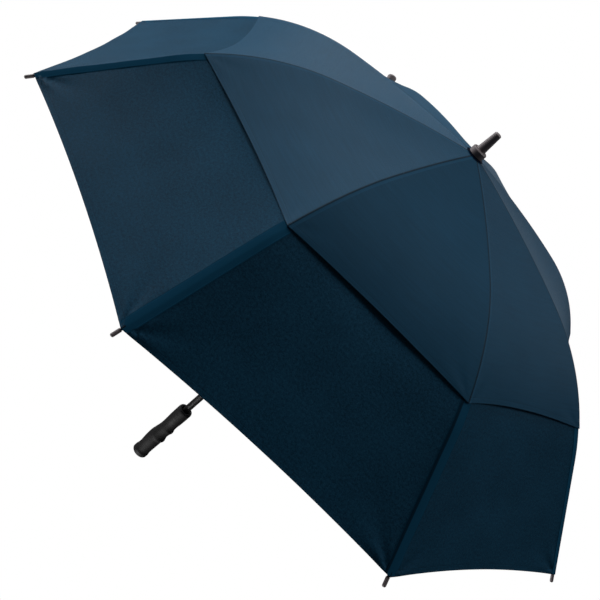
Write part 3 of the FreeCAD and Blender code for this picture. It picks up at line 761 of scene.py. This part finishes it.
# ---------------------------------------------------------------------------------------------
# Materials. Distances are in metres, and the scales of noises are per metre.
# ---------------------------------------------------------------------------------------------
WEAVE_PITCH = 0.0011
THREAD_RELIEF = 0.35
FLECK_RELIEF = 0.4
SLUB_SHARE = 0.55  # of the fleck, and the finer grains are the rest of it
MOTTLE_CONTRAST = 0.9
MEAN = 0.5  # of a noise or a tone
SEAM_WIDTH = 0.0016  # groove over the rib, sunk by a bump and darkened with painted shade
FELL = (0.0020, 0.0066)  # folded seam allowance beside the rib, raised by a bump and lightened with a painted highlight
SEAM_ROW = 0.0054  # distance of its row of stitches from the rib
HEM_ROWS = (0.0018, 0.0076)  # distances of the hem's two rows from its edge
STRIP_ROW = 0.0022
STITCH_PITCH = 0.0030
SEAM_STITCH_PITCH = 0.0032
STITCH_WIDTH = 0.0005
STITCH_DASH = (0.16, 0.84)  # where a dash starts and ends within its pitch
STITCH_FADE = 0.14
STITCH_SOFT = 0.0002
HEM_CREASE = 0.0006  # half width of the shadow line where the hem ends
# width of the painted shadow along the cloth's edge
CLOTH_EDGE = 0.0005
# width of the painted shade along a strip's turned-in edges
TURNED_EDGE_SHADE = 0.0011
PLEAT_SHADE = 0.0022
USUAL_SPECULAR = 0.5
NOISE_RANGE = (0.3, 0.7)  # where nearly all of a noise's values lie


def stitches(graph, distance, along, offset, pitch=STITCH_PITCH):
    """Row of thread dashes at a distance from an edge."""
    half = STITCH_WIDTH / 2
    row = graph.band(distance, offset - half, offset + half, STITCH_SOFT)
    place = graph.calculate("FRACT", graph.times(along, 1.0 / pitch))
    return graph.times(row, graph.band(place, *STITCH_DASH, STITCH_FADE))


def cloth_tone(graph, weave, contrast, streakiness):
    """Tone of plain woven cloth, about 0 where it is dark and 1 where it is light, and the fleck in it.
    contrast and streakiness set how far the grain and the weft streaks go from the mean tone."""
    slub = graph.noise(weave, scale=230.0, detail=2.0, roughness=0.7)
    grains = graph.noise(weave, scale=520.0, detail=1.0, roughness=0.6)
    mottle = graph.noise(weave, scale=7.0, detail=3.0, roughness=0.55)
    streaks = graph.noise(graph.stretch(weave, (14.0, 240.0, 1.0)), scale=1.0, detail=2.0, roughness=0.6)
    fleck = graph.plus(graph.times(slub, SLUB_SHARE), graph.times(grains, 1 - SLUB_SHARE))
    tone = MEAN
    for part, reach in ((fleck, contrast), (mottle, MOTTLE_CONTRAST), (streaks, streakiness)):
        tone = graph.plus(tone, graph.times(graph.minus(part, MEAN), reach))
    return tone, fleck


def cloth_material(name, dark, light, contrast, streakiness, roughness, gloss):
    """Woven polyester: crossing threads, slubs, a slow mottle, sewn seams and hems with rows of
    stitches. Shade is painted in the seam's groove, where the hem ends and along the cloth's edge, and a
    highlight is painted on the folded seam allowance."""
    graph = Graph(name)
    across, along, weave = graph.uv_axes("weave")
    ridge, hem, _ = graph.uv_axes("edges")
    tone, fleck = cloth_tone(graph, weave, contrast, streakiness)

    fold_side = graph.calculate("LESS_THAN", across, 0.0)
    seam = graph.below(ridge, SEAM_WIDTH, soft=0.0012)
    fell_and_highlight = graph.times(graph.band(ridge, *FELL, soft=0.0008), fold_side)
    rows = graph.plus(*(stitches(graph, hem, across, row) for row in HEM_ROWS))
    sewing = graph.times(stitches(graph, ridge, along, SEAM_ROW, SEAM_STITCH_PITCH), fold_side)
    thread = graph.plus(sewing, rows, clamp=True)
    # Painted shadow: a dark line where the hem ends, and another along the cloth's edge.
    crease = graph.band(hem, HEM_WIDTH - HEM_CREASE, HEM_WIDTH + HEM_CREASE, soft=0.0005)
    edge = graph.below(hem, CLOTH_EDGE, soft=0.0003)
    shadow = graph.plus(graph.times(crease, 0.22), graph.times(edge, 0.6), clamp=True)

    base = graph.mix_colour(tone, dark, light)
    # Painted highlight: the folded seam allowance is made lighter.
    base = graph.tint(base, fell_and_highlight, strength=0.3, towards=shade(light, 1.5))
    # Painted shade: the groove over the rib is darkened.
    base = graph.tint(base, seam, strength=0.9, towards=shade(dark, 0.35))
    base = graph.tint(base, thread, strength=0.25, towards=shade(light, 2.0))
    base = graph.mix_colour(shadow, base, shade(dark, 0.25))

    warp = graph.calculate("SINE", graph.times(across, 2 * math.pi / WEAVE_PITCH))
    weft = graph.calculate("SINE", graph.times(along, 2 * math.pi / WEAVE_PITCH))
    threads = graph.times(graph.times(warp, weft), THREAD_RELIEF)
    height = graph.plus(threads, graph.times(fleck, FLECK_RELIEF * contrast))
    normal = graph.bump(height, strength=0.35, distance=0.0002 + 0.00015 * contrast)
    sewn = graph.plus(graph.minus(graph.times(fell_and_highlight, 0.5), seam), graph.times(thread, 0.6))
    normal = graph.bump(sewn, strength=0.35, distance=0.0004, over=normal)
    rough = graph.span(fleck, NOISE_RANGE, (roughness - 0.05, roughness + 0.07))
    return graph.finish(base, rough, gloss, normal)


def strip_material(name, dark, light):
    """Smooth taffeta of the rib strips: turned-in edges with painted shade along them, each with a row
    of stitches inside it, and painted shade along a pleat."""
    graph = Graph(name)
    _, along, weave = graph.uv_axes("weave")
    edge, pleat, _ = graph.uv_axes("edges")
    fine = graph.noise(weave, scale=700.0, detail=2.0, roughness=0.5)
    slow = graph.noise(weave, scale=30.0, detail=3.0, roughness=0.5)
    tone = graph.plus(graph.times(fine, 0.3), graph.times(slow, 0.7), clamp=True)
    thread = stitches(graph, edge, along, STRIP_ROW)
    # Painted shade along the turned-in edges.
    turned = graph.below(edge, TURNED_EDGE_SHADE, soft=0.0006)
    # Painted shade along the pleat, beside its raised fold.
    fold = graph.below(pleat, PLEAT_SHADE, soft=0.0012)
    base = graph.mix_colour(tone, dark, light)
    base = graph.tint(base, thread, strength=0.4, towards=shade(light, 2.2))
    base = graph.tint(base, turned, strength=0.35, towards=shade(dark, 0.25))
    base = graph.tint(base, fold, strength=0.8, towards=shade(dark, 0.15))
    normal = graph.bump(fine, strength=0.15, distance=0.0002)
    normal = graph.bump(thread, strength=0.5, distance=0.0005, over=normal)
    return graph.finish(base, roughness=0.6, specular=0.01, normal=normal)


def thread_material(name, dark, light):
    """Twisted polyester sewing thread."""
    graph = Graph(name)
    vector = graph.stretch(graph.object_vector(), (2500.0, 2500.0, 900.0))
    fibres = graph.noise(vector, scale=1.0, detail=2.0, roughness=0.6)
    base = graph.mix_colour(fibres, dark, light)
    normal = graph.bump(fibres, strength=0.4, distance=0.0001)
    return graph.finish(base, roughness=0.55, specular=0.3, normal=normal)


def plastic_material(name, dark, light, roughness, grain_scale, bump_depth=0.0001):
    """Moulded plastic: a fine spark-eroded grain, and a slow variation of tone."""
    graph = Graph(name)
    vector = graph.object_vector()
    grain = graph.noise(vector, grain_scale, detail=3.0, roughness=0.6)
    mottle = graph.noise(vector, scale=40.0, detail=4.0, roughness=0.6)
    base = graph.mix_colour(graph.span(mottle, (0.35, 0.65), (0.0, 1.0)), dark, light)
    rough = graph.span(grain, NOISE_RANGE, (roughness - 0.06, roughness + 0.08))
    normal = graph.bump(grain, strength=0.5, distance=bump_depth)
    return graph.finish(base, rough, specular=0.3, normal=normal)


def metal_material(name, colour, roughness):
    """Black satin coating over steel, with a fine unevenness and a little paler dust."""
    graph = Graph(name)
    vector = graph.object_vector()
    grain = graph.noise(vector, scale=350.0, detail=2.0, roughness=0.5)
    dust = graph.noise(vector, scale=60.0, detail=4.0, roughness=0.6)
    base = graph.mix_colour(graph.span(dust, (0.4, 0.7), (0.0, 0.6)), colour, shade(colour, 1.7))
    rough = graph.span(grain, NOISE_RANGE, (roughness - 0.05, roughness + 0.07))
    graph.shader.inputs["Coat Weight"].default_value = 0.15
    graph.shader.inputs["Coat Roughness"].default_value = 0.3
    normal = graph.bump(grain, strength=0.2, distance=0.0001)
    return graph.finish(base, rough, USUAL_SPECULAR, normal)


def steel_material(name, dark, light):
    """Bright spring steel."""
    graph = Graph(name)
    grain = graph.noise(graph.object_vector(), scale=500.0, detail=2.0, roughness=0.5)
    graph.shader.inputs["Metallic"].default_value = 1.0
    base = graph.mix_colour(grain, dark, light)
    return graph.finish(base, graph.span(grain, NOISE_RANGE, (0.22, 0.36)), USUAL_SPECULAR)


def grip_material(name, dark, light):
    """Soft-touch rubber: a pebbled skin, paler and smoother where hands polish it."""
    graph = Graph(name)
    vector = graph.object_vector()
    pebbles = graph.add("ShaderNodeTexVoronoi", feature="SMOOTH_F1")
    pebbles.inputs["Scale"].default_value = 900.0
    graph.links.new(vector, pebbles.inputs["Vector"])
    wear = graph.noise(vector, scale=28.0, detail=4.0, roughness=0.6)
    base = graph.mix_colour(graph.span(wear, (0.42, 0.68), (0.0, 1.0)), dark, light)
    rough = graph.span(wear, (0.35, 0.65), (0.66, 0.54))
    normal = graph.bump(pebbles.outputs["Distance"], strength=0.2, distance=0.0001)
    return graph.finish(base, rough, specular=0.18, normal=normal)


def cloth_materials():
    """Materials of the soft pieces."""
    return {
        "upper": cloth_material(
            "pongee_smooth",
            dark=(0.0045, 0.0370, 0.074),
            light=(0.0071, 0.0520, 0.103),
            contrast=0.8,
            streakiness=1.2,
            roughness=0.56,
            gloss=0.07,
        ),
        "lower": cloth_material(
            "pongee_grained",
            dark=(0.0022, 0.0215, 0.044),
            light=(0.0074, 0.0515, 0.100),
            contrast=3.3,
            streakiness=0.15,
            roughness=0.62,
            gloss=0.038,
        ),
        "strip": strip_material("strip_taffeta", (0.0042, 0.0400, 0.080), (0.0056, 0.0480, 0.096)),
        "rosette": strip_material("rosette_cloth", (0.002, 0.005, 0.014), (0.003, 0.008, 0.021)),
        "thread": thread_material("thread_navy", (0.006, 0.020, 0.038), (0.016, 0.045, 0.080)),
    }


def hard_materials():
    """Materials of the hard parts. Two colours are a material's dark and light tones."""
    return {
        "tip": plastic_material(
            "plastic_brown_grey",
            (0.115, 0.097, 0.101),
            (0.150, 0.127, 0.132),
            roughness=0.55,
            grain_scale=1500.0,
        ),
        "hub": plastic_material(
            "nylon_black", (0.010, 0.010, 0.011), (0.018, 0.018, 0.019), roughness=0.45, grain_scale=1200.0
        ),
        "cap": plastic_material(
            "cap_black",
            (0.005, 0.005, 0.0055),
            (0.008, 0.008, 0.0085),
            roughness=0.6,
            grain_scale=1600.0,
            bump_depth=0.0002,
        ),
        "latch": plastic_material(
            "latch_black", (0.016, 0.016, 0.017), (0.026, 0.026, 0.027), roughness=0.35, grain_scale=1500.0
        ),
        "rod": plastic_material(
            "rod_glass_fibre", (0.008, 0.008, 0.009), (0.016, 0.016, 0.018), roughness=0.32, grain_scale=700.0
        ),
        "shaft": metal_material("shaft_coating", (0.0085, 0.0080, 0.0082), roughness=0.34),
        "stretcher": metal_material("stretcher_coating", (0.010, 0.010, 0.011), roughness=0.34),
        "spring": steel_material("spring_steel", (0.45, 0.45, 0.46), (0.62, 0.62, 0.63)),
        "grip": grip_material("grip_rubber", (0.0088, 0.0084, 0.0088), (0.0125, 0.0120, 0.0125)),
    }


NODE_MATERIALS = {  # the soft nodes aren't here, because other pieces replace them
    "shaft_tube": "shaft",
    "grip": "grip",
    "grip_end_cap": "cap",
    "top_notch": "hub",
    "runner": "hub",
    "latch_button": "latch",
    "latch_spring": "spring",
    "ferrule": "tip",
    "closure_knob": "tip",
    "inner_rib": "rod",
    "outer_rib": "rod",
    "rib_tip": "tip",
    "stretcher": "stretcher",
}


def paint_frame(materials):
    """Gives every carried-over CAD node its material. A node of a rib ends in the rib's number."""
    for name, obj in frame["nodes"].items():
        stem = name if name in NODE_MATERIALS else name.rsplit("_", 1)[0]
        if stem in NODE_MATERIALS:
            obj.data.materials.clear()
            obj.data.materials.append(materials[NODE_MATERIALS[stem]])


# ---------------------------------------------------------------------------------------------
# Stage
# ---------------------------------------------------------------------------------------------
WHITE = (1.0, 1.0, 1.0, 1.0)
BLACK = (0.0, 0.0, 0.0, 1.0)
ROOM_STRENGTH = 0.065
FLOOR_HEIGHT = -3.5
FLOOR_REACH = 60.0
LAMP_AIM = Vector((0, 0, 0.75))
LAMP_DISTANCE = 4.0
LAMPS = (  # name, azimuth and elevation in degrees, diameter, watts
    ("lamp_left", 180, 5, 2.0, 138),
    ("lamp_high_left", 180, 55, 2.0, 82),
    ("lamp_high_right", 45, 55, 2.0, 70),
    ("lamp_back", 90, 5, 2.0, 7),
    ("lamp_back_left", 135, 30, 2.0, 38),
    ("lamp_under", 280, -68, 2.4, 150),
)
CAMERA_PLACE = Vector((0.3504, -1.6642, 1.3120))
CAMERA_TARGET = Vector((-0.0130, -0.0039, 0.5104))
CAMERA_ROLL = math.radians(48.42)
CAMERA_LENS = 60.22  # millimetres, as is the sensor
CAMERA_SENSOR = 36.0


def aim(place, target):
    """Rotation of a camera or a lamp at a place, so that it faces a target."""
    return (target - place).to_track_quat("-Z", "Y")


def add_camera():
    data = bpy.data.cameras.new("camera")
    data.lens = CAMERA_LENS
    data.sensor_width = CAMERA_SENSOR
    camera = bpy.data.objects.new("camera", data)
    bpy.context.collection.objects.link(camera)
    look = aim(CAMERA_PLACE, CAMERA_TARGET).to_matrix().to_4x4()
    camera.matrix_world = Matrix.Translation(CAMERA_PLACE) @ look @ Matrix.Rotation(CAMERA_ROLL, 4, "Z")
    bpy.context.scene.camera = camera


def add_lamp(name, azimuth, elevation, size, power):
    """Round soft lamp that faces the canopy."""
    turn = math.radians(azimuth)
    rise = math.radians(elevation)
    away = Vector((math.cos(turn) * math.cos(rise), math.sin(turn) * math.cos(rise), math.sin(rise)))
    data = bpy.data.lights.new(name, "AREA")
    data.shape = "DISK"
    data.size = size
    data.energy = power
    light = bpy.data.objects.new(name, data)
    light.location = LAMP_AIM + away * LAMP_DISTANCE
    light.rotation_mode = "QUATERNION"
    light.rotation_quaternion = aim(light.location, LAMP_AIM)
    bpy.context.collection.objects.link(light)


def add_world():
    """White to the camera, and a dim even room to everything else, so the lamps do the shading."""
    world = bpy.data.worlds.new("studio")
    world.use_nodes = True
    nodes = world.node_tree.nodes
    links = world.node_tree.links
    room = nodes["Background"]
    room.inputs["Color"].default_value = WHITE
    room.inputs["Strength"].default_value = ROOM_STRENGTH
    white = nodes.new("ShaderNodeBackground")
    white.inputs["Color"].default_value = WHITE
    white.inputs["Strength"].default_value = 1.0
    path = nodes.new("ShaderNodeLightPath")
    mix = nodes.new("ShaderNodeMixShader")
    links.new(path.outputs["Is Camera Ray"], mix.inputs["Fac"])
    links.new(room.outputs["Background"], mix.inputs[1])
    links.new(white.outputs["Background"], mix.inputs[2])
    links.new(mix.outputs["Shader"], nodes["World Output"].inputs["Surface"])
    bpy.context.scene.world = world


def floor_material():
    """Even white that needs no light."""
    graph = Graph("floor_white")
    graph.shader.inputs["Base Color"].default_value = BLACK
    graph.shader.inputs["Specular IOR Level"].default_value = 0.0
    graph.shader.inputs["Emission Color"].default_value = WHITE
    graph.shader.inputs["Emission Strength"].default_value = 1.0
    return graph.material


def add_floor():
    """Plain white floor far below the umbrella, which is held in the air. Only the camera sees it, so
    it neither lights nor shades the cloth."""
    quarters = ((-1, -1), (1, -1), (1, 1), (-1, 1))
    corners = [(x * FLOOR_REACH, y * FLOOR_REACH, FLOOR_HEIGHT) for x, y in quarters]
    floor = smooth_object("floor", corners, [(0, 1, 2, 3)])
    floor.data.materials.append(floor_material())
    floor.visible_diffuse = False
    floor.visible_glossy = False
    floor.visible_transmission = False
    floor.visible_shadow = False


def add_stage():
    """The dim room, the floor and the soft lamps around the canopy."""
    add_world()
    add_floor()
    for lamp in LAMPS:
        add_lamp(*lamp)
    bpy.context.scene.view_settings.view_transform = "Standard"
    bpy.context.scene.view_settings.look = "None"


def main():
    add_camera()
    add_stage()
    materials = {**cloth_materials(), **hard_materials()}
    paint_frame(materials)
    build_canopy(materials)
    for rib in range(RIB_COUNT):
        rib_strip(rib, materials["strip"])
    build_rosette(materials["rosette"])
    closure_strap(materials["strip"])
    build_ties(materials["thread"])


main()
